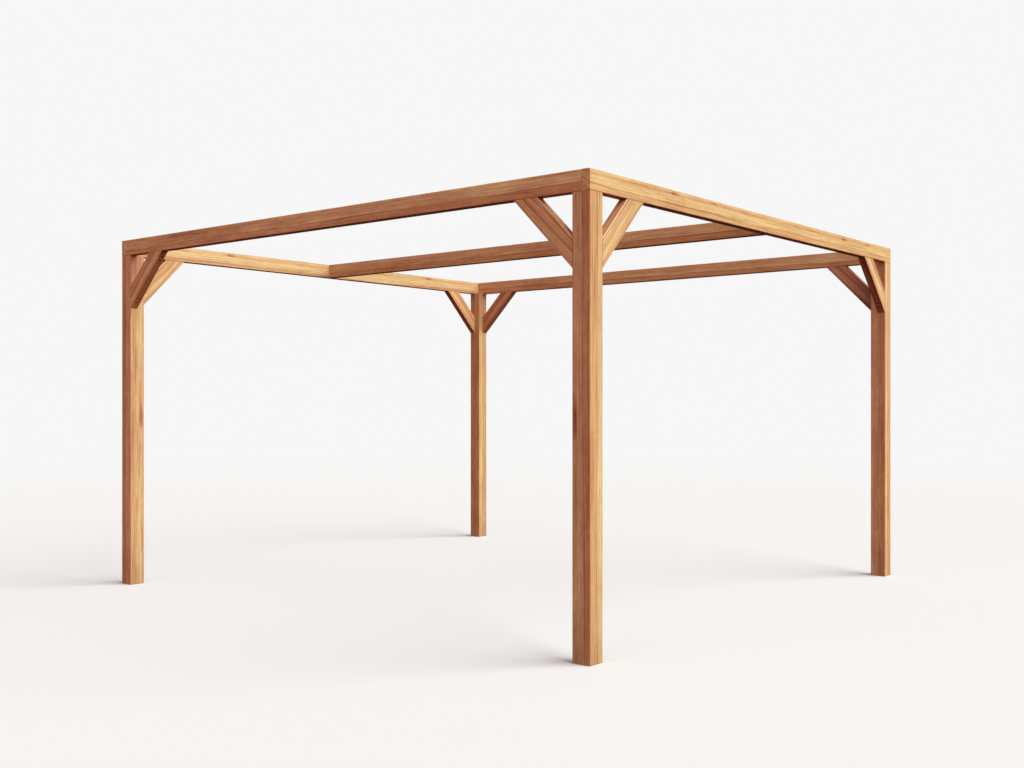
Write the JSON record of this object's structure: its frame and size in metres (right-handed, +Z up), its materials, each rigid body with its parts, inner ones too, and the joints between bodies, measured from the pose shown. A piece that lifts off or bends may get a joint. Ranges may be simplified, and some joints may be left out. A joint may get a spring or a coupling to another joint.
{
  "type": "wooden pergola",
  "caption": "Open wooden pergola frame with square posts, a ring of flush beams, a middle beam and 45 degree knee braces, for shade or climbers over a seating area.",
  "frame": {"origin": "on the ground, at the centre of the plan between the four posts", "axes": "+X along the front beam to the right, +Y from the front beam to the rear beam, +Z up"},
  "size_m": [3.75, 3.55, 2.24],
  "materials": {
    "posts": "planed softwood, unpainted",
    "beams": "planed softwood, unpainted",
    "braces": "planed softwood, unpainted",
    "screws": "steel with a brown weatherproof coating, matt"
  },
  "bodies": {
    "root": {"front_beam": "beams", "front_beam_left_brace": "braces", "front_beam_right_brace": "braces", "front_left_post": "posts", "front_right_post": "posts", "left_beam": "beams", "left_beam_front_brace": "braces", "left_beam_rear_brace": "braces", "middle_beam": "beams", "rear_beam": "beams", "rear_beam_left_brace": "braces", "rear_beam_right_brace": "braces", "rear_left_post": "posts", "rear_right_post": "posts", "right_beam": "beams", "right_beam_front_brace": "braces", "right_beam_rear_brace": "braces"}
  },
  "joints": []
}
